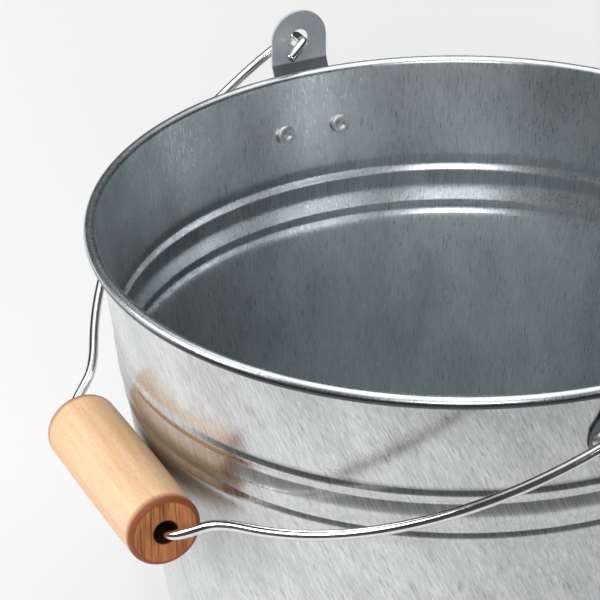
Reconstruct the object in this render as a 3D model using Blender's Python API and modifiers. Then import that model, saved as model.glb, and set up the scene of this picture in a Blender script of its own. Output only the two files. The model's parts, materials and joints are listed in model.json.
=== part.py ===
"""Florist bucket: a tapered galvanised steel bucket with a wired rim and riveted ears.

Its wire bail carries a wooden grip.

Frame: metres, +Z up, the bucket's axis on Z. The origin is the centre of the bottom panel's underside.
The ears stand at +X and -X, and the bail hangs down the -Y side.
"""

import math

import bmesh
import bpy
from mathutils import Matrix, Vector

# ---------------------------------------------------------------- driving dimensions
HEIGHT = 0.2500             # top of the rim to the underside of the foot
FOOT_DROP = 0.0050          # the foot reaches this far below the bottom panel
RIM_R = 0.1411              # bucket's axis to the centre of the rim wire
BASE_R = 0.1050             # bucket's axis to the middle of the wall's sheet, level with the bottom panel
SHEET = 0.0006              # wall and bottom panel
GAP = 0.0003                # between pieces that touch

RIM_WIRE_R = 0.0015
CURL_SWEEP = math.radians(292)   # how far the sheet is rolled round the rim wire

BEAD_TOP = 0.0425           # rim's top down to the first of three pressed ridges
BEADS = ((0.0062, 0.0007), (0.0133, 0.0011), (0.0063, 0.0007))   # height and depth of each ridge

HEM_RISE = 0.0062           # bottom panel's hem, up the outside of the wall from the foot

EAR_SHEET = 0.0012
EAR_TAB_W = 0.0245
EAR_BASE_W = 0.0350
EAR_CORNER_R = 0.0070
EAR_BASE_H = 0.0170
EAR_SHOULDER_H = 0.0070
EAR_STAND_OFF = 0.0064      # rim wire's centre out to the middle of the ear's upright tab
EAR_SHORT_OF_RIM = 0.0019   # the tab turns upright this far above the rim
HINGE_UP = 0.0123           # top of the rim up to the bail's hinge axis

RIVET_SPACING = 0.0251
RIVET_DROP = 0.0243         # rim's top down to the rivets
RIVET_SHANK_R = 0.0024
RIVET_HEAD_R = 0.0041
RIVET_HEAD_H = 0.0017
RIVET_DIMPLE_R = 0.0014     # dent left in the inner head by the setting tool
RIVET_DIMPLE = 0.0006

WIRE_R = 0.0020             # bail wire
EYE_R = 0.0040              # hole in the ear
EYE_BEND_R = 0.0035         # bend of the wire where it turns into the ear
HOOK_IN = 0.0072            # hook's tip, inwards from the ear's tab
HOOK_ALONG = 0.0090         # and back along the arm
HOOK_CLEAR = 0.0028         # the hook turns back this far inside the ear's inner face
HOOK_BEND = 0.0020          # length of wire on each side of that turn that is bent
BAIL_PAST_RIM = 0.0289      # hinge axis to the grip's axis, less the rim wire's radius
BOW_PAST_RIM = 0.0309       # radius of the arms' long bow, less the rim wire's radius
BOW_SET_BACK = 0.0084       # its centre, behind the hinge axis
ARM_CLEAR = 0.0030          # wire's skin to the ear's outer face
SHOULDER_S = 0.0595         # half distance between the wire's two kinks
SHOULDER_SHORT = 0.0130     # they fall this far short of the grip's axis
SHOULDER_LEAN = math.radians(52)   # how steeply the wire runs through a kink
SHOULDER_RUN = 0.0060       # how gently it bends there
BOW_START_S = 0.0760        # where each kink runs into the bow
STRAIGHT_SPARE = 0.0035     # the wire's straight middle goes on this far past each end of the grip
# The two arms are bent by hand. Each has: how far it turns where it leaves the ear, the angle up the bow
# at which it starts to turn in, and how gently it does so.
LEFT_ARM = (math.radians(75), math.radians(38), 0.0200)
RIGHT_ARM = (math.radians(52), math.radians(13), 0.0125)
BAIL_SLID = 0.0012          # the bail is loose in the ears, and lies this far towards +X
GRIP_SLID = 0.0040          # and the grip lies this far along its wire
GRIP_L = 0.0850
GRIP_R = 0.0145
GRIP_BORE_R = 0.0047
GRIP_ROUND = 0.0025
GRIP_BARREL = 0.0003        # the middle is this much thicker in radius

PANEL_CORNER = 0.0012       # bend where the bottom panel turns down into its skirt
DRILL_L = 0.0120            # cutters for the holes, longer than the sheets are thick
TURNS = 48                  # sides of the bucket's turned pieces
RIVET_TURNS = 14
GRIP_TURNS = 28
HOLE_SIDES = 16             # rivet holes
EYE_SIDES = 24
RIM_STEPS = 12              # steps round the rolled rim
RIM_WIRE_SIDES = 8
SHALLOW_RIDGE_STEPS = 4     # steps down a ridge
TALL_RIDGE_STEPS = 6
TALL_RIDGE = 0.0100         # a ridge higher than this is a tall one
CROWN_ANGLES = (0.0, 0.45, 0.9, 1.3)   # points of a rivet's domed head, from its middle out
TAB_STEPS = 8               # steps round each half of the ear's top
CORNER_STEPS = 3            # and round each of its lower corners
SHOULDER_STEPS = 6          # and down each of its shoulders
GRIP_ROUND_STEPS = 4
WIRE_BEVEL = 2              # bevel resolution of the bail wire
EAR_COLUMNS = 8             # strips across an ear

# ---------------------------------------------------------------- worked out from them
RIM_TOP = HEIGHT - FOOT_DROP
CURL_R = RIM_WIRE_R + GAP + SHEET / 2                  # rim wire's centre to the middle of the rolled sheet
RIM_Z = RIM_TOP - CURL_R - SHEET / 2
TAPER = math.atan2(RIM_R - CURL_R - BASE_R, RIM_Z)     # wall's lean from upright
OUT = Vector((math.cos(TAPER), -math.sin(TAPER)))      # wall's outward normal, as (r, z)
FACET_SAG = RIM_R * (1 - math.cos(math.pi / TURNS))    # how far a turned piece's flats fall inside its circle
HINGE_Z = RIM_TOP + HINGE_UP
BAIL_REACH = RIM_R + BAIL_PAST_RIM                     # hinge axis to the grip's axis
BOW_R = RIM_R + BOW_PAST_RIM
SHOULDER_W = BAIL_REACH - SHOULDER_SHORT
EAR_TAB_R = RIM_R + EAR_STAND_OFF
RIVET_Z = RIM_TOP - RIVET_DROP
PARTS = "florist_bucket"


def wall_r(z):
    """Radius of the middle of the wall's sheet, without its ridges, at a height."""
    return RIM_R - CURL_R / math.cos(TAPER) - (RIM_Z - z) * math.tan(TAPER)


# ---------------------------------------------------------------- scene, materials and helpers
for old in list(bpy.data.objects):
    bpy.data.objects.remove(old, do_unlink=True)


def new_collection(name):
    collection = bpy.data.collections.new(name)
    bpy.context.scene.collection.children.link(collection)
    return collection


parts = new_collection(PARTS)
cutters = new_collection("cutters")


def material(name, colour, roughness, metallic):
    made = bpy.data.materials.new(name)
    made.use_nodes = True
    shader = made.node_tree.nodes["Principled BSDF"]
    shader.inputs["Base Color"].default_value = (*colour, 1.0)
    shader.inputs["Roughness"].default_value = roughness
    shader.inputs["Metallic"].default_value = metallic
    return made


def add_part(name, mesh, finish):
    part = bpy.data.objects.new(name, mesh)
    mesh.materials.append(finish)
    parts.objects.link(part)
    return part


def profile_mesh(name, points):
    """An open or closed line of (r, z) points in the XZ plane, ready for a Screw modifier."""
    mesh = bpy.data.meshes.new(name)
    edges = [(i, i + 1) for i in range(len(points) - 1)]
    mesh.from_pydata([(r, 0.0, z) for r, z in points], edges, [])
    return mesh


def turn(part, steps):
    """Turns a part's profile once round Z and closes the seam."""
    screw = part.modifiers.new("turn", "SCREW")
    screw.axis = "Z"
    screw.angle = math.tau
    screw.steps = steps
    screw.render_steps = steps
    screw.use_merge_vertices = True
    screw.merge_threshold = 1e-5
    screw.use_smooth_shade = True
    return screw


def thicken(part, thickness):
    """Gives an open sheet its thickness, half on each side of it."""
    solid = part.modifiers.new("sheet", "SOLIDIFY")
    solid.thickness = thickness
    solid.offset = 0.0
    solid.use_even_offset = True
    return solid


def cut(part, cutter):
    difference = part.modifiers.new("cut_" + cutter.name, "BOOLEAN")
    difference.operation = "DIFFERENCE"
    difference.solver = "EXACT"
    difference.object = cutter


def add_drill(name, radius, length, place, sides):
    """A round cutter, its axis on the local Z of a placing matrix."""
    mesh = bpy.data.meshes.new(name)
    shape = bmesh.new()
    bmesh.ops.create_cone(shape, cap_ends=True, segments=sides, radius1=radius, radius2=radius, depth=length)
    shape.to_mesh(mesh)
    shape.free()
    drill = bpy.data.objects.new(name, mesh)
    drill.matrix_world = place
    drill.hide_render = True
    drill.display_type = "WIRE"
    cutters.objects.link(drill)
    return drill


def tube_mesh(name, points, radius, sides_level):
    """A round wire along a line of points, with flat closed ends, as a welded mesh."""
    curve = bpy.data.curves.new(name, "CURVE")
    curve.dimensions = "3D"
    curve.bevel_depth = radius
    curve.bevel_resolution = sides_level
    curve.use_fill_caps = True
    line = curve.splines.new("POLY")
    line.points.add(len(points) - 1)
    for place, point in zip(line.points, points):
        place.co = (*point, 1.0)
    guide = bpy.data.objects.new(name, curve)
    cutters.objects.link(guide)
    bpy.context.view_layer.update()
    evaluated = guide.evaluated_get(bpy.context.evaluated_depsgraph_get())
    mesh = bpy.data.meshes.new_from_object(evaluated)
    bpy.data.objects.remove(guide, do_unlink=True)
    shape = bmesh.new()
    shape.from_mesh(mesh)
    bmesh.ops.remove_doubles(shape, verts=shape.verts, dist=1e-6)
    bmesh.ops.recalc_face_normals(shape, faces=shape.faces)
    shape.to_mesh(mesh)
    shape.free()
    mesh.shade_smooth()
    return mesh


def weld(mesh):
    """Joins the ends of a closed line."""
    shape = bmesh.new()
    shape.from_mesh(mesh)
    bmesh.ops.remove_doubles(shape, verts=shape.verts, dist=1e-7)
    shape.to_mesh(mesh)
    shape.free()
    return mesh


def arc(centre, radius, start, end, steps):
    """Points round a centre in a plane, from one angle to another."""
    turns = [start + (end - start) * i / steps for i in range(steps + 1)]
    return [(centre[0] + radius * math.cos(a), centre[1] + radius * math.sin(a)) for a in turns]


def bezier(p0, p1, p2, p3, steps):
    """Points of a cubic curve, without its first one."""
    points = []
    for i in range(1, steps + 1):
        t = i / steps
        weights = ((1 - t) ** 3, 3 * t * (1 - t) ** 2, 3 * t * t * (1 - t), t ** 3)
        points.append(tuple(sum(w * p[k] for w, p in zip(weights, (p0, p1, p2, p3))) for k in (0, 1)))
    return points


galvanised = material("galvanised_steel", (0.62, 0.64, 0.65), 0.42, 1.0)
ear_steel = material("ear_steel", (0.36, 0.38, 0.39), 0.5, 1.0)
rivet_steel = material("rivet_steel", (0.60, 0.61, 0.62), 0.35, 1.0)
bright_wire = material("bright_wire", (0.80, 0.80, 0.79), 0.16, 1.0)
beech = material("beech", (0.78, 0.60, 0.42), 0.55, 0.0)


# ---------------------------------------------------------------- bucket wall
def wall_profile():
    """Middle of the wall's sheet, as (r, z), from the rolled rim down to its edge in the foot's hem."""
    curl_end = math.pi - TAPER - CURL_SWEEP
    points = arc((RIM_R, RIM_Z), CURL_R, curl_end, math.pi - TAPER, RIM_STEPS)
    ridge_top = RIM_TOP - BEAD_TOP
    for ridge_height, ridge_depth in BEADS:
        steps = TALL_RIDGE_STEPS if ridge_height > TALL_RIDGE else SHALLOW_RIDGE_STEPS
        for i in range(steps):
            z = ridge_top - ridge_height * i / steps
            swell = ridge_depth * math.sin(math.pi * i / steps)
            points.append((wall_r(z) + OUT.x * swell, z + OUT.y * swell))
        ridge_top -= ridge_height
    for z in (ridge_top, HEM_RISE - FOOT_DROP, SHEET + GAP - FOOT_DROP):
        points.append((wall_r(z), z))
    return points


def rivet_places():
    """A placing matrix for each rivet, its Z axis square to the wall and pointing out, on the wall's sheet."""
    swing = RIVET_SPACING / 2 / wall_r(RIVET_Z)
    places = []
    for side in (0.0, math.pi):
        for turn_by in (-swing, swing):
            lean = Matrix.Rotation(math.pi / 2 + TAPER, 4, "Y")
            out_there = Matrix.Translation((wall_r(RIVET_Z), 0.0, RIVET_Z))
            places.append(Matrix.Rotation(side + turn_by, 4, "Z") @ out_there @ lean)
    return places


wall = add_part("bucket_wall", profile_mesh("bucket_wall", wall_profile()), galvanised)
turn(wall, TURNS)
thicken(wall, SHEET)
rivet_holes = []
for number, place in enumerate(rivet_places(), 1):
    rivet_holes.append(add_drill(f"rivet_hole_{number}", RIVET_SHANK_R + GAP, DRILL_L, place, HOLE_SIDES))
    cut(wall, rivet_holes[-1])


# ---------------------------------------------------------------- bottom panel, hemmed round the wall's lower edge
def panel_profile():
    """Middle of the panel's sheet: up the outside of the wall last, so the turned shape faces out."""
    middle = SHEET / 2
    inside = SHEET + GAP                       # middle of the wall to the middle of the skirt or the hem
    edge_z = middle - FOOT_DROP + inside       # the hem turns round the wall's edge at this height
    hem_top = HEM_RISE - FOOT_DROP
    skirt_r = wall_r(middle - PANEL_CORNER) - inside / math.cos(TAPER)
    points = [(wall_r(hem_top) + inside / math.cos(TAPER), hem_top)]
    points += arc((wall_r(edge_z), edge_z), inside, -TAPER, -math.pi - TAPER, 6)
    points += arc((skirt_r - PANEL_CORNER, middle - PANEL_CORNER), PANEL_CORNER, 0.0, math.pi / 2, 2)
    points.append((0.0, middle))
    return points


panel = add_part("bottom_panel", profile_mesh("bottom_panel", panel_profile()), galvanised)
turn(panel, TURNS)
thicken(panel, SHEET)

# ---------------------------------------------------------------- rim wire, inside the rolled rim
rim_wire_round = arc((RIM_R, RIM_Z), RIM_WIRE_R, math.pi / 2, -3 * math.pi / 2, RIM_WIRE_SIDES)
rim_wire = add_part("rim_wire", weld(profile_mesh("rim_wire", rim_wire_round)), galvanised)
turn(rim_wire, TURNS)


# ---------------------------------------------------------------- ears
EAR_STAND = (SHEET / 2 + GAP + EAR_SHEET / 2) / math.cos(TAPER)   # middle of the wall out to the middle of the ear
EAR_FOOT_Z = RIVET_Z - EAR_BASE_H / 2
EAR_LEAN_Z = RIVET_Z + EAR_BASE_H / 2                             # the ear leaves the wall here
EAR_UPRIGHT_Z = RIM_TOP + EAR_SHORT_OF_RIM
EAR_ON_WALL = EAR_BASE_H / math.cos(TAPER)                        # lengths of its sheet
EAR_LEAVES_R = wall_r(EAR_LEAN_Z) + EAR_STAND
EAR_NECK = math.hypot(EAR_TAB_R - EAR_LEAVES_R, EAR_UPRIGHT_Z - EAR_LEAN_Z)


def ear_line(distance):
    """Middle of the ear's sheet as (r, z, bend), at a distance up the sheet from its lower edge.

    bend is 1 where the sheet follows the wall's curve and 0 where it is flat.
    """
    if distance <= EAR_ON_WALL:
        z = EAR_FOOT_Z + distance * math.cos(TAPER)
        return wall_r(z) + EAR_STAND, z, 1.0
    share = (distance - EAR_ON_WALL) / EAR_NECK
    if share <= 1.0:
        r = EAR_LEAVES_R + share * (EAR_TAB_R - EAR_LEAVES_R)
        return r, EAR_LEAN_Z + share * (EAR_UPRIGHT_Z - EAR_LEAN_Z), 1 - share
    return EAR_TAB_R, EAR_UPRIGHT_Z + distance - EAR_ON_WALL - EAR_NECK, 0.0


def ear_rows():
    """The ear's outline: (distance up the sheet, half width) from the lower edge to the top of the tab."""
    tab, base = EAR_TAB_W / 2, EAR_BASE_W / 2
    rows = []
    for i in range(CORNER_STEPS + 1):
        a = math.pi / 2 * i / CORNER_STEPS
        rows.append((EAR_CORNER_R * (1 - math.cos(a)), base - EAR_CORNER_R * (1 - math.sin(a))))
    for i in range(SHOULDER_STEPS + 1):
        share = i / SHOULDER_STEPS
        ease = (1 - math.cos(math.pi * share)) / 2
        rows.append((EAR_ON_WALL - EAR_SHOULDER_H * (1 - 2 * share), base + (tab - base) * ease))
    turn_up = EAR_ON_WALL + EAR_NECK
    eye = turn_up + HINGE_Z - EAR_UPRIGHT_Z
    rows.append(((EAR_ON_WALL + EAR_SHOULDER_H + turn_up) / 2, tab))
    rows.append((turn_up, tab))
    rows.append(((turn_up + eye) / 2, tab))
    for i in range(TAB_STEPS + 1):
        a = math.pi / 2 * i / TAB_STEPS
        rows.append((eye + tab * math.sin(a), tab * math.cos(a)))
    return rows


def ear_mesh(name):
    rows = ear_rows()
    mesh = bpy.data.meshes.new(name)
    shape = bmesh.new()
    bmesh.ops.create_grid(shape, x_segments=EAR_COLUMNS, y_segments=len(rows) - 1, size=0.5)
    for vertex in shape.verts:
        across = round((vertex.co.x + 0.5) * EAR_COLUMNS) / EAR_COLUMNS * 2 - 1
        distance, half_width = rows[round((vertex.co.y + 0.5) * (len(rows) - 1))]
        r, z, bend = ear_line(distance)
        along = across * half_width
        swing = along / r
        curved = Vector((r * math.cos(swing), r * math.sin(swing), z))
        flat = Vector((r, along, z))
        vertex.co = flat.lerp(curved, bend)
    bmesh.ops.remove_doubles(shape, verts=shape.verts, dist=1e-6)
    bmesh.ops.recalc_face_normals(shape, faces=shape.faces)
    shape.to_mesh(mesh)
    shape.free()
    return mesh


for side_name, swing_round in (("right", 0.0), ("left", math.pi)):
    ear = add_part(f"{side_name}_ear", ear_mesh(f"{side_name}_ear"), ear_steel)
    ear.rotation_euler.z = swing_round
    thicken(ear, EAR_SHEET)
    eye_place = Matrix.Rotation(swing_round, 4, "Z") @ Matrix.Translation((EAR_TAB_R, 0.0, HINGE_Z))
    eye_place = eye_place @ Matrix.Rotation(math.pi / 2, 4, "Y")
    eye_drill = add_drill(f"{side_name}_eye", EYE_R, DRILL_L, eye_place, EYE_SIDES)
    for hole in rivet_holes:
        if (hole.matrix_world.translation.x > 0) == (swing_round == 0.0):
            cut(ear, hole)
    cut(ear, eye_drill)


# ---------------------------------------------------------------- rivets
def rivet_profile():
    """A rivet turned about Z: (radius, height) from the outer head's crown to the inner head's."""
    ear_face = SHEET / 2 + GAP + EAR_SHEET
    outer_seat = ear_face + GAP
    inner_seat = -(SHEET / 2 + FACET_SAG + GAP)
    crown = [(RIVET_HEAD_R * math.sin(a), math.cos(a)) for a in CROWN_ANGLES]
    outer = [(r, outer_seat + RIVET_HEAD_H * up) for r, up in crown] + [(RIVET_HEAD_R, outer_seat)]
    shank = [(RIVET_SHANK_R, outer_seat), (RIVET_SHANK_R, inner_seat)]
    inner = [(RIVET_HEAD_R, inner_seat)]
    inner += [(r, inner_seat - RIVET_HEAD_H * up) for r, up in reversed(crown[1:])]
    dimple_floor = inner_seat - RIVET_HEAD_H + RIVET_DIMPLE
    inner += [(RIVET_DIMPLE_R, dimple_floor), (0.0, dimple_floor)]
    return outer + shank + inner


for i, place in enumerate(rivet_places()):
    side_name = "right" if i < 2 else "left"
    name = f"{side_name}_rivet_{i % 2 + 1}"
    rivet = add_part(name, profile_mesh(name, rivet_profile()), rivet_steel)
    rivet.matrix_world = place
    turn(rivet, RIVET_TURNS)

# ---------------------------------------------------------------- bail and grip
# The bail is drawn flat, as (s, w): s along the hinge axis and w the reach from it.
# It hangs until the grip rests on the wall, a gap away, which sets its angle below level.
GRIP_STAND = (GRIP_R + GRIP_BARREL + GAP + SHEET / 2) / math.cos(TAPER)
HANG_COS = (wall_r(HINGE_Z) + GRIP_STAND) / (BAIL_REACH * math.hypot(1.0, math.tan(TAPER)))
HANG = TAPER + math.acos(HANG_COS)


def bail_half(arm):
    """Half of the bail's line from the tip of its hook, through the ear, to the end of its straight middle."""
    eye_turn, bow_end_angle, turn_in = arm
    outside = EAR_TAB_R + EAR_SHEET / 2 + ARM_CLEAR + WIRE_R
    hook_tip = (EAR_TAB_R - HOOK_IN, HOOK_ALONG)
    hook_turn = (EAR_TAB_R - EAR_SHEET / 2 - HOOK_CLEAR, 0.0)
    lean = math.atan2(hook_tip[1], hook_turn[0] - hook_tip[0])
    before = (hook_turn[0] - HOOK_BEND * math.cos(lean), HOOK_BEND * math.sin(lean))
    after = (hook_turn[0] + HOOK_BEND, 0.0)
    points = [hook_tip, before]
    points += bezier(before, hook_turn, hook_turn, after, 5)
    points += arc((outside - EYE_BEND_R, EYE_BEND_R), EYE_BEND_R, -math.pi / 2, eye_turn - math.pi / 2, 6)
    leaves = points[-1]
    bow_end = (BOW_R * math.cos(bow_end_angle), BOW_R * math.sin(bow_end_angle) - BOW_SET_BACK)
    up = (leaves[0] + turn_in * math.cos(eye_turn), leaves[1] + turn_in * math.sin(eye_turn))
    down = (bow_end[0] + turn_in * math.sin(bow_end_angle), bow_end[1] - turn_in * math.cos(bow_end_angle))
    points += bezier(leaves, up, down, bow_end, 8)
    bow_start = math.acos(BOW_START_S / BOW_R)
    points += arc((0.0, -BOW_SET_BACK), BOW_R, bow_end_angle, bow_start, 14)[1:]
    start = points[-1]
    onward = (-math.sin(bow_start), math.cos(bow_start))
    out_of_bow = (start[0] + SHOULDER_RUN * onward[0], start[1] + SHOULDER_RUN * onward[1])
    shoulder = Vector((SHOULDER_S, SHOULDER_W))
    kink = Vector((math.cos(SHOULDER_LEAN), -math.sin(SHOULDER_LEAN))) * SHOULDER_RUN
    straight = (GRIP_L / 2 + STRAIGHT_SPARE, BAIL_REACH)
    points += bezier(start, out_of_bow, shoulder + kink, shoulder, 5)
    points += bezier(shoulder, shoulder - kink, (straight[0] + SHOULDER_RUN, BAIL_REACH), straight, 6)
    return points


def hang(s, w):
    """A point of the flat bail, hung at its resting angle on the hinge axis."""
    return s + BAIL_SLID, -w * math.cos(HANG), HINGE_Z - w * math.sin(HANG)


hinge = bpy.data.objects.new("bail_hinge", None)
hinge.location = (0.0, 0.0, HINGE_Z)
parts.objects.link(hinge)
whole = bail_half(RIGHT_ARM) + [(-s, w) for s, w in reversed(bail_half(LEFT_ARM))]
bail_points = [Vector(hang(s, w)) - hinge.location for s, w in whole]
bail = add_part("bail", tube_mesh("bail", bail_points, WIRE_R, WIRE_BEVEL), bright_wire)
bail.parent = hinge


def grip_profile():
    """Half section of the grip about Z: outer side down, then back up its bore."""
    end = GRIP_L / 2
    flat = end - GRIP_ROUND
    points = [(GRIP_R - GRIP_ROUND + GRIP_ROUND * math.sin(a), flat + GRIP_ROUND * math.cos(a)) for a in
              (math.pi / 2 * i / GRIP_ROUND_STEPS for i in range(GRIP_ROUND_STEPS + 1))]
    points.append((GRIP_R + GRIP_BARREL, 0.0))
    points += [(r, -z) for r, z in reversed(points[:-1])]
    points += [(GRIP_BORE_R, -end), (GRIP_BORE_R, end)]
    return points + [points[0]]


grip = add_part("grip", weld(profile_mesh("grip", grip_profile())), beech)
grip.location = Vector(hang(GRIP_SLID, BAIL_REACH)) - hinge.location
grip.rotation_euler.y = math.pi / 2
grip.parent = hinge
turn(grip, GRIP_TURNS)

print("rim across", round(2 * (RIM_R + CURL_R + SHEET / 2), 4), "hang angle", round(math.degrees(HANG), 3))
print("hinge height", round(HINGE_Z, 5), "grip axis", [round(v, 5) for v in hang(GRIP_SLID, BAIL_REACH)])
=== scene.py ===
# %% [markdown]
# # A florist's galvanised bucket
# This notebook dresses a plain, measured model of a bucket so that it looks like the real thing.
# The plain model is the frame: it is loaded first and never moved. Each piece is then made again as
# fine mesh in the same place, with the finish of the real one.

# %% Load the frame
import json
import math

import bmesh
import bpy
from mathutils import Matrix, Vector


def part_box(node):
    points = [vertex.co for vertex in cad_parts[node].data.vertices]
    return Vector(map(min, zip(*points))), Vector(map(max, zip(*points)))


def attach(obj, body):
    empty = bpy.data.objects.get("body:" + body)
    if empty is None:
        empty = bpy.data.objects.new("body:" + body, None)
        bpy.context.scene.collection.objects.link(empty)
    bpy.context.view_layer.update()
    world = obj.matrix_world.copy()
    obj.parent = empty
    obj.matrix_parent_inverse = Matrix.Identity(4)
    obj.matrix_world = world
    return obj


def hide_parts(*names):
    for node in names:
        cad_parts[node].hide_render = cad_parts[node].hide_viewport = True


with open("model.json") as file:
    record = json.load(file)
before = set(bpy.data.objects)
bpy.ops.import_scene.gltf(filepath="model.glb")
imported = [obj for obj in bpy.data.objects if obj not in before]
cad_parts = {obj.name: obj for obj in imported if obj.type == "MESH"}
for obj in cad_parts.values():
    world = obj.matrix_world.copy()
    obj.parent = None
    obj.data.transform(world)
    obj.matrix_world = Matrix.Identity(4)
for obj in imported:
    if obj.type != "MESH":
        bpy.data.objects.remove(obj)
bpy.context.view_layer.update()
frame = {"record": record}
joints = {joint["name"]: joint for joint in frame["record"]["behaviour"]["joints"]}
MM = 0.001

# %% [markdown]
# ## Sizes
# A bucket is drawn from a few sizes: the rim, the foot, the height between them, and the sheet's
# thickness. The places come from the frame, and the small sizes are what a maker would write on
# the drawing. Copying every size from the frame's mesh would hide what the shape is made of.

# %% Sizes of the bucket
SHEET = 0.6 * MM
GAP = 0.3 * MM
RIM_WIRE_R = 1.5 * MM
ROLL_R = RIM_WIRE_R + GAP + SHEET / 2
ROLL_SWEEP = math.radians(292)
RIM_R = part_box("rim_wire")[1].x - RIM_WIRE_R
RIM_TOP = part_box("bucket_wall")[1].z
RIM_Z = RIM_TOP - ROLL_R - SHEET / 2
FOOT_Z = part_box("bottom_panel")[0].z
BASE_R = 105.0 * MM
HEM_RISE = 6.2 * MM
LEAN = math.atan2(RIM_R - ROLL_R - BASE_R, RIM_Z)
RIDGE_TOP = 42.5 * MM
NARROW_RIDGE = (6.2 * MM, 0.7 * MM)  # height and depth
WIDE_RIDGE = (13.3 * MM, 1.1 * MM)
LAST_RIDGE_H = 6.3 * MM


def wall_r(z):
    """Radius of the middle of the wall's sheet at a height, without its ridges."""
    return RIM_R - ROLL_R / math.cos(LEAN) - (RIM_Z - z) * math.tan(LEAN)


print("rim radius", round(RIM_R / MM, 2), "mm, wall leans", round(math.degrees(LEAN), 2), "degrees")

# %% Sizes of the ears, bail and grip
EAR_SHEET = 1.2 * MM
EAR_TAB_W = 24.5 * MM
EAR_BASE_W = 35.0 * MM
EAR_BASE_H = 17.0 * MM
EAR_CORNER_R = 7.0 * MM
EAR_SHOULDER_H = 7.0 * MM
EAR_TAB_R = RIM_R + 6.4 * MM
EAR_UPRIGHT_Z = RIM_TOP + 1.9 * MM
EYE_R = 4.0 * MM
RIVET_SPACING = 25.1 * MM
RIVET_Z = RIM_TOP - 24.3 * MM
RIVET_HEAD_R = 4.1 * MM
RIVET_HEAD_H = 1.7 * MM
WIRE_R = 2.0 * MM
HINGE = Vector(joints["bail_swing"]["pos_m"])
GRIP_AT = Vector(joints["grip_spin"]["pos_m"])
BAIL_REACH = math.hypot(GRIP_AT.y - HINGE.y, GRIP_AT.z - HINGE.z)
HANG = math.atan2(HINGE.z - GRIP_AT.z, HINGE.y - GRIP_AT.y)
GRIP_L = 85.0 * MM
GRIP_R = 14.5 * MM
GRIP_BORE_R = 4.7 * MM
print("bail reaches", round(BAIL_REACH / MM, 1), "mm")
print("bail hangs", round(math.degrees(HANG), 2), "degrees below level")

# %% [markdown]
# ## Camera
# The camera stands well back with a long lens, above the rim and off to one side of the bail, and
# is turned a little away from the bucket's middle. Its place is worked out from angles round the
# rim, so it can be read and changed. A camera on a list of bare coordinates would be hard to move.

# %% Camera
CAMERA_ROUND = math.radians(-27.10)
CAMERA_UP = math.radians(27.2)
CAMERA_BACK = 1.300
TURN_LEFT = math.radians(2.682)
TURN_DOWN = math.radians(1.501)
ROLL = math.radians(-0.5)
LENS_MM = 204.0
AIM_BELOW_RIM = 0.3 * MM


def aim_camera():
    rim_centre = Vector((0.0, 0.0, RIM_TOP - AIM_BELOW_RIM))
    level = Vector((math.cos(CAMERA_ROUND), math.sin(CAMERA_ROUND), 0.0))
    away = level * math.cos(CAMERA_UP) + Vector((0.0, 0.0, math.sin(CAMERA_UP)))
    right = (-away).cross(Vector((0.0, 0.0, 1.0))).normalized()
    above = away.cross(right)
    facing = Matrix((right, above, away)).transposed()
    turned = facing @ Matrix.Rotation(-ROLL, 3, "Z") @ Matrix.Rotation(-TURN_DOWN, 3, "X")
    turned = turned @ Matrix.Rotation(TURN_LEFT, 3, "Y")
    camera = bpy.data.objects.new("camera", bpy.data.cameras.new("camera"))
    camera.data.lens = LENS_MM
    camera.data.clip_end = 100.0
    camera.matrix_world = Matrix.Translation(rim_centre + away * CAMERA_BACK) @ turned.to_4x4()
    bpy.context.scene.collection.objects.link(camera)
    bpy.context.scene.camera = camera
    return camera


camera = aim_camera()
print("camera at", [round(v, 3) for v in camera.location])

# %% [markdown]
# ## Writing finishes
# A finish is a small graph of nodes, and a few helpers keep the graphs short. They start a finish,
# add a node with its settings, read a place on the piece, make a stretched noise, stretch or mix
# values, and raise a relief. Stretched noise is most of what metal and wood need. Every finish
# reads Object coordinates, which are metres here, so a noise's scale is in grains to the metre.

# %% Helpers for finishes
def start_finish(name, metallic, roughness):
    made = bpy.data.materials.new(name)
    made.use_nodes = True
    shader = made.node_tree.nodes["Principled BSDF"]
    shader.inputs["Metallic"].default_value = metallic
    shader.inputs["Roughness"].default_value = roughness
    return made, made.node_tree, shader


def add(tree, kind, links=(), **settings):
    """Adds a node. links are (input, socket) pairs, and settings are input or property values."""
    node = tree.nodes.new(kind)
    for name, value in settings.items():
        if hasattr(node, name):
            setattr(node, name, value)
        else:
            node.inputs[name.replace("_", " ")].default_value = value
    for name, source in links:
        tree.links.new(source, node.inputs[name])
    return node


print("node helpers ready")

# %% Helpers for places and values
LOW, HIGH = 0.3, 0.7  # most of a noise's values lie between these


def place_of(tree, turn_per_metre=0.0, centre=(0.0, 0.0, 0.0)):
    """Object coordinates, moved to a centre, and twisted about Z the higher they are."""
    coords = add(tree, "ShaderNodeTexCoord").outputs["Object"]
    moved = add(tree, "ShaderNodeVectorMath", [(0, coords)], operation="SUBTRACT")
    moved.inputs[1].default_value = centre
    if not turn_per_metre:
        return moved.outputs[0]
    _, _, height = parts_of(tree, moved.outputs[0])
    twist = [("Vector", moved.outputs[0]), ("Angle", join(tree, "MULTIPLY", height, turn_per_metre))]
    return add(tree, "ShaderNodeVectorRotate", twist, rotation_type="Z_AXIS").outputs[0]


def parts_of(tree, where):
    """The X, Y and Z of a place."""
    split = add(tree, "ShaderNodeSeparateXYZ", [(0, where)])
    return split.outputs["X"], split.outputs["Y"], split.outputs["Z"]


def length_of(tree, where, axes=(1.0, 1.0, 1.0)):
    """How far a place is from the centre, counting only the axes given as 1."""
    kept = add(tree, "ShaderNodeVectorMath", [(0, where)], operation="MULTIPLY")
    kept.inputs[1].default_value = axes
    return add(tree, "ShaderNodeVectorMath", [(0, kept.outputs[0])], operation="LENGTH").outputs["Value"]


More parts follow.
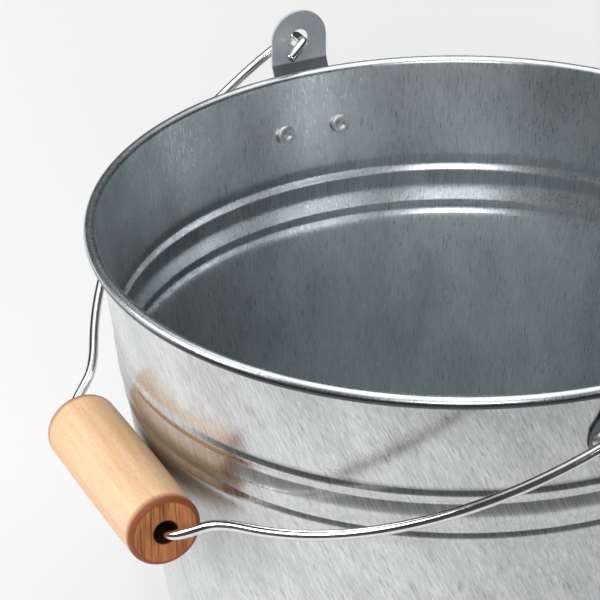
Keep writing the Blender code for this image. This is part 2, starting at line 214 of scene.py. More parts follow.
def noise(tree, where, per_metre, detail=4.0, roughness=0.6, shift=0.0):
    """Noise whose grains are this many to the metre along X, Y and Z."""
    scaled = add(tree, "ShaderNodeMapping", [("Vector", where)], Scale=per_metre,
                 Location=(shift, shift * 0.7, shift * 1.3))
    made = add(tree, "ShaderNodeTexNoise", [("Vector", scaled.outputs[0])], Scale=1.0, Detail=detail,
               Roughness=roughness)
    return made.outputs["Fac"]


def spread(tree, value, low, high, to_low=0.0, to_high=1.0):
    """Stretches the part of a value between low and high to a new range."""
    node = add(tree, "ShaderNodeMapRange", [("Value", value)], From_Min=low, From_Max=high,
               To_Min=to_low, To_Max=to_high)
    return node.outputs["Result"]


def mix(tree, amount, first, second, blend_type="MIX"):
    """Mixes two colours, given as sockets or as (r, g, b)."""
    node = add(tree, "ShaderNodeMix", data_type="RGBA", blend_type=blend_type)
    for socket, value in ((node.inputs[6], first), (node.inputs[7], second)):
        if isinstance(value, tuple):
            socket.default_value = (*value, 1.0)
        else:
            tree.links.new(value, socket)
    if isinstance(amount, float):
        node.inputs[0].default_value = amount
    else:
        tree.links.new(amount, node.inputs[0])
    return node.outputs[2]


def join(tree, operation, *values):
    """Does one sum on values, each a socket or a number."""
    node = add(tree, "ShaderNodeMath", operation=operation)
    for socket, value in zip(node.inputs, values):
        if isinstance(value, (int, float)):
            socket.default_value = value
        else:
            tree.links.new(value, socket)
    return node.outputs[0]


def raise_by(tree, shader, height, distance):
    """Gives the finish a relief of this many metres."""
    bump = add(tree, "ShaderNodeBump", [("Height", height)], Strength=1.0, Distance=distance)
    tree.links.new(bump.outputs[0], shader.inputs["Normal"])


print("place and value helpers ready")

# %% [markdown]
# ## Studio
# Bright metal shows the room it stands in, so the room is part of the finish. The floor is a wide
# pale sheet. Over it lies a flag, a sheet that only reflections see: it is pale near the bucket and
# dark farther off in front. The pressed ridges, the rim and the wire catch that dark, and it draws
# them, where a pale floor all round would leave them white on white. The sky is black near the
# horizon and white overhead. One large soft lamp stands to the left, and a low one in front lights
# the inside and the ear.

# %% Floor and flag
FLOOR_R = 9.0
PALE, SHADED, DARK = (0.83, 0.83, 0.83), (0.55, 0.55, 0.55), (0.02, 0.021, 0.022)
PALE_R, DARK_R = 0.37, 0.47  # the flag goes dark between these distances from the axis
FRONT_FROM, FRONT_TO = 0.02, 0.14  # and only in front of the bucket
SHADE_FROM, SHADE_TO = -0.20, 0.25  # it is shaded from left to right


def show(name, mesh):
    """Puts a mesh or a curve in the scene."""
    piece = bpy.data.objects.new(name, mesh)
    bpy.context.scene.collection.objects.link(piece)
    return piece


def mesh_from(name, shape):
    """Ends a bmesh as a mesh of its own."""
    mesh = bpy.data.meshes.new(name)
    shape.to_mesh(mesh)
    shape.free()
    return mesh


def floor_finish():
    made, _, shader = start_finish("floor_paper", 0.0, 0.9)
    shader.inputs["Base Color"].default_value = (*PALE, 1.0)
    return made


def flag_finish():
    made, tree, shader = start_finish("flag_cloth", 0.0, 0.9)
    where = place_of(tree)
    x, y, _ = parts_of(tree, where)
    ahead = join(tree, "ADD", join(tree, "MULTIPLY", x, math.cos(CAMERA_ROUND)),
                 join(tree, "MULTIPLY", y, math.sin(CAMERA_ROUND)))
    rightward = join(tree, "ADD", join(tree, "MULTIPLY", x, -math.sin(CAMERA_ROUND)),
                     join(tree, "MULTIPLY", y, math.cos(CAMERA_ROUND)))
    in_front = spread(tree, ahead, FRONT_FROM, FRONT_TO)
    shade = join(tree, "MULTIPLY", spread(tree, rightward, SHADE_FROM, SHADE_TO), in_front)
    far_off = join(tree, "MULTIPLY", spread(tree, length_of(tree, where), PALE_R, DARK_R), in_front)
    cloth = mix(tree, far_off, mix(tree, shade, PALE, SHADED), DARK)
    tree.links.new(cloth, shader.inputs["Base Color"])
    return made


def lay_sheet(name, below_foot, finish):
    shape = bmesh.new()
    bmesh.ops.create_circle(shape, cap_ends=True, segments=96, radius=FLOOR_R)
    mesh = mesh_from(name, shape)
    mesh.transform(Matrix.Translation((0.0, 0.0, FOOT_Z - below_foot)))
    mesh.materials.append(finish)
    sheet = show(name, mesh)
    return sheet


lay_sheet("floor", 0.2 * MM, floor_finish())
flag = lay_sheet("flag", 0.1 * MM, flag_finish())
flag.visible_camera = False
flag.visible_diffuse = False
flag.visible_shadow = False
print("floor and flag are", 2 * FLOOR_R, "m across")

# %% Sky and lamps
SKY_DARK_UP, SKY_WHITE_UP = 0.62, 0.86  # sine of the height above the horizon
SKY_STRENGTH = 1.8


def make_sky():
    world = bpy.data.worlds.new("studio")
    bpy.context.scene.world = world
    world.use_nodes = True
    tree = world.node_tree
    _, _, up = parts_of(tree, add(tree, "ShaderNodeTexCoord").outputs["Generated"])
    bright = spread(tree, up, SKY_DARK_UP, SKY_WHITE_UP)
    sky = mix(tree, bright, (0.03, 0.031, 0.033), (1.0, 1.0, 1.0))
    tree.links.new(sky, tree.nodes["Background"].inputs["Color"])
    tree.nodes["Background"].inputs["Strength"].default_value = SKY_STRENGTH


def add_lamp(name, place, look_at, size, power):
    lamp = bpy.data.lights.new(name, "AREA")
    lamp.shape = "RECTANGLE"
    lamp.size, lamp.size_y = size
    lamp.energy = power
    made = bpy.data.objects.new(name, lamp)
    direction = Vector(look_at) - Vector(place)
    turned = direction.to_track_quat("-Z", "Y").to_matrix().to_4x4()
    made.matrix_world = Matrix.Translation(place) @ turned
    bpy.context.scene.collection.objects.link(made)
    return made


make_sky()
add_lamp("left_box", (-0.9, -2.3, 1.3), (0.0, 0.0, 0.15), (1.6, 1.1), 35.0)
add_lamp("low_box", (2.4, -1.1, 1.25), (0.0, 0.0, 0.24), (1.0, 0.5), 24.0)
bpy.context.scene.view_settings.view_transform = "Standard"
print("studio has", len(bpy.data.lights), "lamps")

# %% [markdown]
# ## Galvanised sheet
# The sheet is steel dipped in zinc. Rolling leaves fine streaks in the zinc. When the flat sheet is
# bent into a cone the streaks lean round it, so outside they run down like a slow screw thread, and
# inside they look upright. The finish twists its noise about the bucket's axis to get that without
# a seam. Short bright and dark dashes, dark specks and cloudy patches lie over the streaks. The
# crease under the rim is darkened as painted shade. Where the grip rests the zinc is a little
# rougher, and darker as painted shade.

# %% Crease shade and rub
CREASE_IN = (-4.6 * MM, -3.0 * MM)  # heights from the rim wire between which the painted shade fades in
CREASE_OUT = (0.1 * MM, 0.9 * MM)  # and between which it fades out
RUB_SHADE_NEAR, RUB_SHADE_FAR = 4.0 * MM, 36.0 * MM  # from the grip's skin
RUB_SHADE_BESIDE = 28.0 * MM  # past the grip's ends


def crease_shade_of(tree, where, from_radius):
    """How much painted shade a spot gets in the crease under the rolled rim, from 0 to 1."""
    _, _, height = parts_of(tree, where)
    above = spread(tree, height, RIM_Z + CREASE_IN[0], RIM_Z + CREASE_IN[1])
    below = spread(tree, height, RIM_Z + CREASE_OUT[0], RIM_Z + CREASE_OUT[1], 1.0, 0.0)
    outer = spread(tree, length_of(tree, where, (1.0, 1.0, 0.0)), from_radius, from_radius + 0.5 * MM)
    return join(tree, "MULTIPLY", join(tree, "MULTIPLY", above, below), outer)


def rub_and_shade_of(tree):
    """How much the grip has rubbed the zinc rougher, with painted shade darkening it, at a spot, from 0 to
    1.
    """
    from_grip = place_of(tree, 0.0, tuple(GRIP_AT))
    x, _, _ = parts_of(tree, from_grip)
    far = length_of(tree, from_grip, (0.0, 1.0, 1.0))
    near = spread(tree, far, GRIP_R + RUB_SHADE_NEAR, GRIP_R + RUB_SHADE_FAR, 1.0, 0.0)
    along = join(tree, "ABSOLUTE", x)
    beside = spread(tree, along, GRIP_L / 2, GRIP_L / 2 + RUB_SHADE_BESIDE, 1.0, 0.0)
    return join(tree, "MULTIPLY", near, beside)


print("crease and rub ready")

# %% Galvanised finishes
# The first two colours are painted shade: near black in the crease under the rim, and grey where the grip
# rests.
CREASE_SHADE, GRIP_SHADE, SHINY_ZINC = (0.03, 0.032, 0.034), (0.20, 0.20, 0.20), (0.95, 0.95, 0.95)


def galvanised(name, lean, light, dark, roughness, dashes, streak_depth, crease_r):
    """lean twists the streaks, in radians to the metre. dashes is how strong the marks are."""
    made, tree, shader = start_finish(name, 1.0, 0.35)
    where = place_of(tree, lean)
    streaks = noise(tree, where, (1300.0, 1300.0, 75.0), 5.0, 0.66)
    threads = noise(tree, where, (1500.0, 1500.0, 75.0), 2.0, 0.5, 3.1)
    clouds = noise(tree, where, (60.0, 60.0, 28.0), 3.0, 0.5, 7.7)
    specks = noise(tree, where, (1300.0, 1300.0, 420.0), 2.0, 0.5, 1.9)
    bright_dash = noise(tree, where, (1200.0, 1200.0, 85.0), 1.0, 0.4, 12.3)
    dark_dash = noise(tree, where, (1150.0, 1150.0, 90.0), 1.0, 0.4, 21.9)

    # The colour is built up in layers: streaks, clouds, dashes, specks, painted shade in the crease, and
    # the rub with its painted shade.
    deep = tuple(v * 0.45 for v in dark)
    colour = mix(tree, spread(tree, streaks, 0.34, 0.66), dark, light)
    colour = mix(tree, 1.0, colour, spread(tree, clouds, LOW, HIGH, 0.84, 1.08), "MULTIPLY")
    colour = mix(tree, spread(tree, bright_dash, 0.63, 0.70, 0.0, dashes), colour, SHINY_ZINC)
    colour = mix(tree, spread(tree, dark_dash, 0.64, 0.71, 0.0, dashes), colour, deep)
    colour = mix(tree, spread(tree, specks, 0.68, 0.76, 0.0, dashes * 0.8), colour, deep)
    # The crease under the rolled rim is darkened nearly black, as painted shade.
    painted_shade = join(tree, "MULTIPLY", crease_shade_of(tree, where, crease_r), 0.9)
    colour = mix(tree, painted_shade, colour, CREASE_SHADE)
    # Where the grip rests the zinc is darkened grey as painted shade, and made rougher as wear.
    rub_and_shade = rub_and_shade_of(tree)
    colour = mix(tree, join(tree, "MULTIPLY", rub_and_shade, 0.42), colour, GRIP_SHADE)
    tree.links.new(colour, shader.inputs["Base Color"])

    sheen = spread(tree, threads, LOW, HIGH, *roughness)
    dulled = join(tree, "ADD", sheen, join(tree, "MULTIPLY", rub_and_shade, 0.14))
    tree.links.new(dulled, shader.inputs["Roughness"])
    relief = join(tree, "ADD", streaks, join(tree, "MULTIPLY", threads, 0.5))
    raise_by(tree, shader, relief, streak_depth)
    return made


ZINC_OUTSIDE = galvanised(
    "zinc_outside", lean=3.1, light=(0.80, 0.81, 0.815), dark=(0.57, 0.58, 0.585),
    roughness=(0.17, 0.27), dashes=0.42, streak_depth=0.025 * MM, crease_r=0.0)
ZINC_INSIDE = galvanised(
    "zinc_inside", lean=0.25, light=(0.71, 0.75, 0.76), dark=(0.58, 0.625, 0.64),
    roughness=(0.25, 0.36), dashes=0.03, streak_depth=0.02 * MM, crease_r=RIM_R + 0.2 * MM)
print("made", ZINC_OUTSIDE.name, "and", ZINC_INSIDE.name)

# %% [markdown]
# ## Pressed ears, rivets and wire
# The ears are thicker plated steel with a dull grey skin. The rivets are soft aluminium with small
# dents from the tool. The bail is drawn wire plated with nickel: nearly a mirror, with a little
# haze and a few pits. Each finish is one or two noises, which is all that such small pieces need.

# %% Finishes for the ears, rivets and wire
def ear_finish():
    made, tree, shader = start_finish("dull_plate", 0.55, 0.5)
    where = place_of(tree)
    clouds = noise(tree, where, (140.0, 140.0, 140.0), 4.0, 0.6)
    grain = noise(tree, where, (1900.0, 1900.0, 1900.0), 2.0, 0.5, 5.0)
    _, _, height = parts_of(tree, where)
    # Below the upright tab the neck and the lower plate are darkened nearly black, as painted shade.
    painted_shade = spread(tree, height, EAR_UPRIGHT_Z - 0.2 * MM, EAR_UPRIGHT_Z + 0.7 * MM, 0.85, 0.0)
    plate = mix(tree, spread(tree, clouds, LOW, HIGH), (0.50, 0.53, 0.555), (0.62, 0.65, 0.68))
    tree.links.new(mix(tree, painted_shade, plate, (0.10, 0.105, 0.11)), shader.inputs["Base Color"])
    tree.links.new(spread(tree, grain, LOW, HIGH, 0.40, 0.56), shader.inputs["Roughness"])
    raise_by(tree, shader, grain, 0.02 * MM)
    return made


def rivet_finish():
    made, tree, shader = start_finish("soft_rivet", 1.0, 0.38)
    where = place_of(tree)
    dents = noise(tree, where, (700.0, 700.0, 700.0), 3.0, 0.6)
    colour = mix(tree, spread(tree, dents, LOW, HIGH), (0.52, 0.54, 0.55), (0.72, 0.73, 0.74))
    tree.links.new(colour, shader.inputs["Base Color"])
    tree.links.new(spread(tree, dents, LOW, HIGH, 0.3, 0.46), shader.inputs["Roughness"])
    raise_by(tree, shader, dents, 0.08 * MM)
    return made


def wire_finish():
    made, tree, shader = start_finish("bright_nickel", 1.0, 0.12)
    where = place_of(tree)
    haze = noise(tree, where, (260.0, 260.0, 260.0), 3.0, 0.6)
    pits = noise(tree, where, (1600.0, 1600.0, 1600.0), 2.0, 0.5, 4.4)
    colour = mix(tree, spread(tree, haze, LOW, HIGH), (0.74, 0.73, 0.71), (0.84, 0.83, 0.82))
    pitted = mix(tree, spread(tree, pits, 0.7, 0.78, 0.0, 0.5), colour, (0.3, 0.29, 0.28))
    tree.links.new(pitted, shader.inputs["Base Color"])
    tree.links.new(spread(tree, haze, LOW, HIGH, 0.07, 0.17), shader.inputs["Roughness"])
    raise_by(tree, shader, pits, 0.01 * MM)
    return made


DULL_PLATE = ear_finish()
SOFT_RIVET = rivet_finish()
BRIGHT_NICKEL = wire_finish()
print("made", DULL_PLATE.name, SOFT_RIVET.name, BRIGHT_NICKEL.name)

# %% [markdown]
# ## Beech
# Turned beech is pale and warm, with short dark flecks along the grain and soft bands of growth.
# The ends show the tree's rings and rays as fine upright lines. The sawn ends and their rounded
# edges are browner, because they take up more wax and are burnished on the lathe. The end wood
# round the bore is painted nearly black, as painted shade in the hole. The grip lies along X.

# %% Beech finishes
BURNT_FROM, BURNT_TO = 4.4 * MM, 1.2 * MM  # the side turns brown between these distances from an end


def beech_side():
    made, tree, shader = start_finish("beech_side", 0.0, 0.5)
    where = place_of(tree, 0.0, tuple(GRIP_AT))
    bands = noise(tree, where, (9.0, 170.0, 170.0), 3.0, 0.55)
    fibres = noise(tree, where, (60.0, 1500.0, 1500.0), 3.0, 0.6, 2.0)
    flecks = noise(tree, where, (420.0, 2300.0, 2300.0), 1.0, 0.4, 9.0)
    ground = mix(tree, spread(tree, bands, LOW, HIGH), (0.74, 0.40, 0.175), (0.91, 0.61, 0.38))
    fine = mix(tree, spread(tree, fibres, 0.3, 0.75, 0.0, 0.55), ground, (0.93, 0.69, 0.465))
    marked = mix(tree, spread(tree, flecks, 0.62, 0.72, 0.0, 0.35), fine, (0.46, 0.23, 0.10))
    x, _, _ = parts_of(tree, where)
    along = join(tree, "ABSOLUTE", x)
    burnt = spread(tree, along, GRIP_L / 2 - BURNT_FROM, GRIP_L / 2 - BURNT_TO, 0.0, 0.97)
    colour = mix(tree, burnt, marked, (0.25, 0.05, 0.003))
    tree.links.new(colour, shader.inputs["Base Color"])
    tree.links.new(spread(tree, fibres, LOW, HIGH, 0.42, 0.58), shader.inputs["Roughness"])
    raise_by(tree, shader, join(tree, "ADD", fibres, flecks), 0.05 * MM)
    return made


def beech_end():
    made, tree, shader = start_finish("beech_end", 0.0, 0.6)
    shader.inputs["Specular IOR Level"].default_value = 0.25
    where = place_of(tree, 0.0, tuple(GRIP_AT))
    rings = noise(tree, where, (20.0, 260.0, 60.0), 3.0, 0.5, 5.5)
    rays = noise(tree, where, (20.0, 1300.0, 50.0), 2.0, 0.5)
    ringed = mix(tree, spread(tree, rings, 0.35, 0.65), (0.34, 0.115, 0.034), (0.57, 0.225, 0.08))
    lined = mix(tree, spread(tree, rays, 0.53, 0.64, 0.0, 0.7), ringed, (0.11, 0.036, 0.012))
    radius = length_of(tree, where, (0.0, 1.0, 1.0))
    # Round the bore the end wood is painted nearly black, as painted shade in the hole.
    bore_shade = spread(tree, radius, GRIP_BORE_R + 0.1 * MM, GRIP_BORE_R + 0.7 * MM, 0.93, 0.0)
    tree.links.new(mix(tree, bore_shade, lined, (0.018, 0.008, 0.004)), shader.inputs["Base Color"])
    raise_by(tree, shader, rays, 0.06 * MM)
    return made


BEECH_SIDE = beech_side()
BEECH_END = beech_end()
print("made", BEECH_SIDE.name, BEECH_END.name)

# %% [markdown]
# ## Making meshes
# Several pieces share these helpers. One turns an outline round an axis, as a lathe or a spinning
# chuck does. Another reads the finished shape of an object whose modifiers or nodes are live, and
# keeps it as a plain mesh at the origin. The last two give the points of an arc and of a curve.

# %% Helpers for meshes
def turned_mesh(name, outline, sides, place=None):
    """A closed outline of (radius, height) points, down the outside and up the inside, turned round Z."""
    shape = bmesh.new()
    turns = [(math.cos(math.tau * k / sides), math.sin(math.tau * k / sides)) for k in range(sides)]
    rings = []
    for radius, height in outline:
        around = turns if radius else [(0.0, 0.0)]
        rings.append([shape.verts.new((radius * x, radius * y, height)) for x, y in around])
    pairs = list(zip(rings, rings[1:]))
    if outline[0][0] != 0.0:
        pairs.append((rings[-1], rings[0]))
    for upper, lower in pairs:
        for k in range(sides):
            after = (k + 1) % sides
            if len(upper) == 1:
                shape.faces.new((upper[0], lower[k], lower[after]))
            elif len(lower) == 1:
                shape.faces.new((upper[k], lower[0], upper[after]))
            else:
                shape.faces.new((upper[k], lower[k], lower[after], upper[after]))
    if place:
        shape.transform(place)
    bmesh.ops.recalc_face_normals(shape, faces=shape.faces)
    mesh = mesh_from(name, shape)
    mesh.shade_smooth()
    return mesh


def settle(name, source):
    """Keeps an object's evaluated shape as a plain object at the origin, and removes the source."""
    bpy.context.view_layer.update()
    evaluated = source.evaluated_get(bpy.context.evaluated_depsgraph_get())
    mesh = bpy.data.meshes.new_from_object(evaluated)
    mesh.transform(source.matrix_world)
    mesh.name = name
    bpy.data.objects.remove(source, do_unlink=True)
    return show(name, mesh)


def arc(centre, radius, start, end, steps):
    """Points of an arc, with both ends."""
    turns = [start + (end - start) * i / steps for i in range(steps + 1)]
    return [(centre[0] + radius * math.cos(a), centre[1] + radius * math.sin(a)) for a in turns]


def bezier(p0, p1, p2, p3, steps):
    """Points of a cubic curve, without its first one."""
    points = []
    for i in range(1, steps + 1):
        t = i / steps
        weights = ((1 - t) ** 3, 3 * t * (1 - t) ** 2, 3 * t * t * (1 - t), t ** 3)
        points.append(tuple(sum(w * p[k] for w, p in zip(weights, (p0, p1, p2, p3))) for k in (0, 1)))
    return points


print("mesh helpers ready")

# %% [markdown]
# ## Geometry Nodes in a script
# A node tree is a recipe with named sizes. The helpers below start a tree, add arithmetic to it in
# a form that reads like a formula, and run it once with its sizes filled in. A tree's sizes are set
# by each socket's identifier before the object is first evaluated.

# %% Helpers for geometry nodes
class Recipe:
    """A geometry node tree under construction."""

    def __init__(self, name, sizes):
        self.tree = bpy.data.node_groups.new(name, "GeometryNodeTree")
        self.tree.is_modifier = True
        self.tree.interface.new_socket("Geometry", in_out="INPUT", socket_type="NodeSocketGeometry")
        for size, value in sizes.items():
            kind = "NodeSocketInt" if isinstance(value, int) else "NodeSocketFloat"
            socket = self.tree.interface.new_socket(size, in_out="INPUT", socket_type=kind)
            socket.default_value = value
        self.tree.interface.new_socket("Geometry", in_out="OUTPUT", socket_type="NodeSocketGeometry")
        self.given = self.tree.nodes.new("NodeGroupInput").outputs
        self.sizes = sizes

    def add(self, kind, links=(), **settings):
        return add(self.tree, kind, links, **settings)

    def maths(self, operation, *values):
        return join(self.tree, operation, *values)

    def finish(self, geometry, material):
        """Ends the tree: instances are made real, and the finish is set."""
        real = self.add("GeometryNodeRealizeInstances", [("Geometry", geometry)])
        painted = self.add("GeometryNodeSetMaterial", [("Geometry", real.outputs[0])])
        painted.inputs["Material"].default_value = material
        end = self.tree.nodes.new("NodeGroupOutput")
        self.tree.links.new(painted.outputs[0], end.inputs[0])

    def run(self, name, start_mesh=None):
        """Runs the recipe on a mesh and returns a plain object."""
        holder = show(name + "_recipe", start_mesh or bpy.data.meshes.new(name + "_start"))
        modifier = holder.modifiers.new("recipe", "NODES")
        modifier.node_group = self.tree
        for socket in self.tree.interface.items_tree:
            if socket.in_out == "INPUT" and socket.name in self.sizes:
                modifier[socket.identifier] = self.sizes[socket.name]
        return settle(name, holder)


print("recipe helpers ready")

# %% [markdown]
# ## The wall
# On the real bucket the wall is one sheet: its top is rolled outwards round a wire, three ridges
# are pressed into it, and below them it is a plain cone. Every ring of it is the same all the way
# round, so its shape is a rule, and a node tree suits it. Two grids are bent into place, the roll
# and the wall. Each grid's columns go round the bucket and its rows go down the sheet. A lathe
# outline would do as well, but the named sizes of a tree can be changed after it is built.

# %% Sizes of the wall recipe
WALL_SIZES = {
    "Sides": 240, "Roll Rows": 36, "Wall Rows": 96,
    "Rim Radius": RIM_R, "Rim Height": RIM_Z, "Roll Radius": ROLL_R, "Roll Sweep": ROLL_SWEEP,
    "Lean": LEAN, "Foot Height": FOOT_Z + SHEET + GAP, "Ridge Top": RIM_Z - (RIM_TOP - RIDGE_TOP),
    "Narrow Height": NARROW_RIDGE[0], "Narrow Depth": NARROW_RIDGE[1],
    "Wide Height": WIDE_RIDGE[0], "Wide Depth": WIDE_RIDGE[1], "Last Height": LAST_RIDGE_H,
}
ROWS_ABOVE, ROWS_TO_LAST = 0.12, 0.8  # shares of the rows above the ridges, and down to their end
CREST = 0.035  # how round a ridge's crest is
SAME_PLACE = 1e-6  # points this close are merged
print("wall recipe has", len(WALL_SIZES), "sizes")

# %% Wall recipe
def wall_recipe():
    recipe = Recipe("bucket_wall_recipe", WALL_SIZES)
    given, maths = recipe.given, recipe.maths
    lean = given["Lean"]

    def times(first, second):
        return maths("MULTIPLY", first, second)

    def band(rows):
        """A grid, with the share of the way round and the share of the way down as fields."""
        lines = [("Vertices X", maths("ADD", given["Sides"], 1)), ("Vertices Y", maths("ADD", rows, 1))]
        grid = recipe.add("GeometryNodeMeshGrid", lines, Size_X=1.0, Size_Y=1.0)
        x, y, _ = parts_of(recipe.tree, recipe.add("GeometryNodeInputPosition").outputs[0])
        return grid.outputs["Mesh"], maths("ADD", x, 0.5), maths("SUBTRACT", 0.5, y)

    def bend_round(grid, across, radius, height):
        angle = times(across, math.tau)
        x = times(radius, maths("COSINE", angle))
        y = times(radius, maths("SINE", angle))
        place = recipe.add("ShaderNodeCombineXYZ", [("X", x), ("Y", y), ("Z", height)]).outputs[0]
        return recipe.add("GeometryNodeSetPosition", [("Geometry", grid), ("Position", place)]).outputs[0]

    # The roll starts under the rim on the outside, goes over the top, and ends where the wall begins.
    roll, across, down = band(given["Roll Rows"])
    unrolled = times(given["Roll Sweep"], maths("SUBTRACT", 1.0, down))
    angle = maths("SUBTRACT", maths("SUBTRACT", math.pi, lean), unrolled)
    radius = maths("ADD", given["Rim Radius"], times(given["Roll Radius"], maths("COSINE", angle)))
    height = maths("ADD", given["Rim Height"], times(given["Roll Radius"], maths("SINE", angle)))
    roll = bend_round(roll, across, radius, height)

    # The wall starts where the roll ends. Its rows crowd together where the ridges are.
    wall, across, down = band(given["Wall Rows"])
    roll_drop = times(given["Roll Radius"], maths("SINE", lean))
    start_r = maths("SUBTRACT", given["Rim Radius"], times(given["Roll Radius"], maths("COSINE", lean)))
    start_z = maths("ADD", given["Rim Height"], roll_drop)
    upper_ridges = maths("ADD", given["Narrow Height"], given["Wide Height"])
    ridges_height = maths("ADD", upper_ridges, given["Last Height"])
    first_drop = maths("ADD", given["Ridge Top"], roll_drop)
    whole = maths("SUBTRACT", start_z, given["Foot Height"])
    rest = maths("SUBTRACT", whole, maths("ADD", first_drop, ridges_height))

    def stage_of(low, high, amount):
        """Goes down by this amount while the rows' share goes from low to high."""
        links = [("Value", down), ("To Max", amount)]
        return recipe.add("ShaderNodeMapRange", links, From_Min=low, From_Max=high).outputs[0]

    drop = maths("ADD", stage_of(0.0, ROWS_ABOVE, first_drop),
                 stage_of(ROWS_ABOVE, ROWS_TO_LAST, ridges_height))
    drop = maths("ADD", drop, stage_of(ROWS_TO_LAST, 1.0, rest))

    def ridge(top, ridge_height, depth):
        """Two flat flanks that meet in a rounded crest."""
        share = maths("DIVIDE", maths("SUBTRACT", drop, top), ridge_height)
        inside = recipe.add("ShaderNodeClamp", [("Value", share)]).outputs[0]
        from_crest = maths("SUBTRACT", times(inside, 2.0), 1.0)
        soft = maths("SQRT", maths("ADD", maths("POWER", from_crest, 2.0), CREST))
        return times(depth, maths("SUBTRACT", math.sqrt(1.0 + CREST), soft))

    second = maths("ADD", first_drop, given["Narrow Height"])
    third = maths("ADD", second, given["Wide Height"])
    lower_swell = maths("ADD", ridge(second, given["Wide Height"], given["Wide Depth"]),
                        ridge(third, given["Last Height"], given["Narrow Depth"]))
    swell = maths("ADD", ridge(first_drop, given["Narrow Height"], given["Narrow Depth"]), lower_swell)
    radius = maths("SUBTRACT", start_r, times(drop, maths("TANGENT", lean)))
    radius = maths("ADD", radius, times(swell, maths("COSINE", lean)))
    height = maths("SUBTRACT", start_z, drop)
    height = maths("SUBTRACT", height, times(swell, maths("SINE", lean)))
    wall = bend_round(wall, across, radius, height)

    joined = recipe.tree.nodes.new("GeometryNodeJoinGeometry")
    recipe.tree.links.new(roll, joined.inputs[0])
    recipe.tree.links.new(wall, joined.inputs[0])
    merged = recipe.add("GeometryNodeMergeByDistance", [("Geometry", joined.outputs[0])],
                        Distance=SAME_PLACE)
    smooth = recipe.add("GeometryNodeSetShadeSmooth", [("Geometry", merged.outputs[0])])
    recipe.finish(smooth.outputs[0], ZINC_OUTSIDE)
    return recipe


print("wall recipe ready")

# %% Wall
wall = wall_recipe().run("galvanised_wall")
facing = sum(p.normal.dot(Vector((p.center.x, p.center.y, 0.0))) for p in wall.data.polygons)
if facing < 0:
    wall.data.flip_normals()
wall.data.materials.append(ZINC_INSIDE)
thick = wall.modifiers.new("sheet", "SOLIDIFY")
thick.thickness = SHEET
thick.offset = 0.0
thick.use_even_offset = True
thick.material_offset = 1
print("wall has", len(wall.data.polygons), "faces before its sheet gets its thickness")

# %% [markdown]
# ## Rim wire and bottom panel
# The wire that stiffens the rim is almost hidden in the roll. The bottom is a round panel with a
# skirt that goes down inside the wall and turns up outside it, so the bucket stands on the hem.
# Both are turned shapes, drawn as a closed outline of their section.

# %% Bottom panel's outline
SIDES = 240
WIRE_SIDES = 16
PANEL_CORNER = 1.2 * MM
PANEL_RINGS = (96.0 * MM, 70.0 * MM, 40.0 * MM, 12.0 * MM)


def sheet_outline(middle, thickness):
    """Both skins of a sheet whose middle is a line of points, as one closed outline."""
    left, right = [], []
    for i, point in enumerate(middle):
        before, after = middle[max(i - 1, 0)], middle[min(i + 1, len(middle) - 1)]
        along = Vector((after[0] - before[0], after[1] - before[1])).normalized()
        side = Vector((-along.y, along.x)) * thickness / 2
        left.append((max(point[0] + side.x, 0.0), point[1] + side.y))
        right.append((max(point[0] - side.x, 0.0), point[1] - side.y))
    return left + right[::-1]


def panel_middle():
    """Middle of the panel's sheet, from the hem's upper edge outside to the centre."""
    inside = SHEET + GAP
    foot = FOOT_Z + SHEET / 2
    edge = (wall_r(foot + inside), foot + inside)
    hem_top = FOOT_Z + HEM_RISE
    points = [(wall_r(hem_top) + inside / math.cos(LEAN), hem_top)]
    points += arc(edge, inside, -LEAN, -math.pi - LEAN, 14)
    corner_z = SHEET / 2 - PANEL_CORNER
    skirt_r = wall_r(corner_z) - inside / math.cos(LEAN)
    points += arc((skirt_r - PANEL_CORNER, corner_z), PANEL_CORNER, 0.0, math.pi / 2, 6)
    points += [(radius, SHEET / 2) for radius in PANEL_RINGS]
    return points


def closed_on_axis(outline):
    """Adds the two points on the axis where a panel's skins end."""
    half = len(outline) // 2
    upper, lower = outline[half - 1], outline[half]
    return outline[:half] + [(0.0, upper[1]), (0.0, lower[1])] + outline[half:]


def panel_mesh():
    outline = closed_on_axis(sheet_outline(panel_middle(), SHEET))
    start = next(i for i, point in enumerate(outline) if point[0] == 0.0 and outline[i + 1][0] == 0.0)
    return turned_mesh("bottom_panel_fine", outline[start + 1:] + outline[:start + 1], SIDES)


def circle(centre, radius, sides):
    """Points of a whole circle, turning clockwise."""
    return arc(centre, radius, 0.0, -math.tau * (sides - 1) / sides, sides - 1)


print("panel's line has", len(panel_middle()), "points")

# %% Rim wire and bottom panel
wire_circle = circle((RIM_R, RIM_Z), RIM_WIRE_R, WIRE_SIDES)
rim_wire = show("rim_wire_fine", turned_mesh("rim_wire_fine", wire_circle, SIDES))
rim_wire.data.materials.append(ZINC_OUTSIDE)
panel = show("bottom_panel_fine", panel_mesh())
panel.data.materials.append(ZINC_INSIDE)
print("panel has", len(panel.data.polygons), "faces")

# %% [markdown]
# ## Ears
# An ear starts as a flat blank, stamped out of sheet with its hole. The press then bends it: the
# lower part to the wall's curve, the neck outwards round the rim, and the tab upright. The script
# works in the same order. It draws the blank as a flat curve with rounded edges, slices it into
# strips so that it can bend, and moves every point to its place on the bent plate.

# %% Outline of an ear
EAR_EDGE = 0.22 * MM
EYE_POINTS = 48
EAR_STAND = (SHEET / 2 + GAP + EAR_SHEET / 2) / math.cos(LEAN)  # the ear's middle from the wall's
EAR_LEAN_Z = RIVET_Z + EAR_BASE_H / 2  # up to here the ear lies on the wall


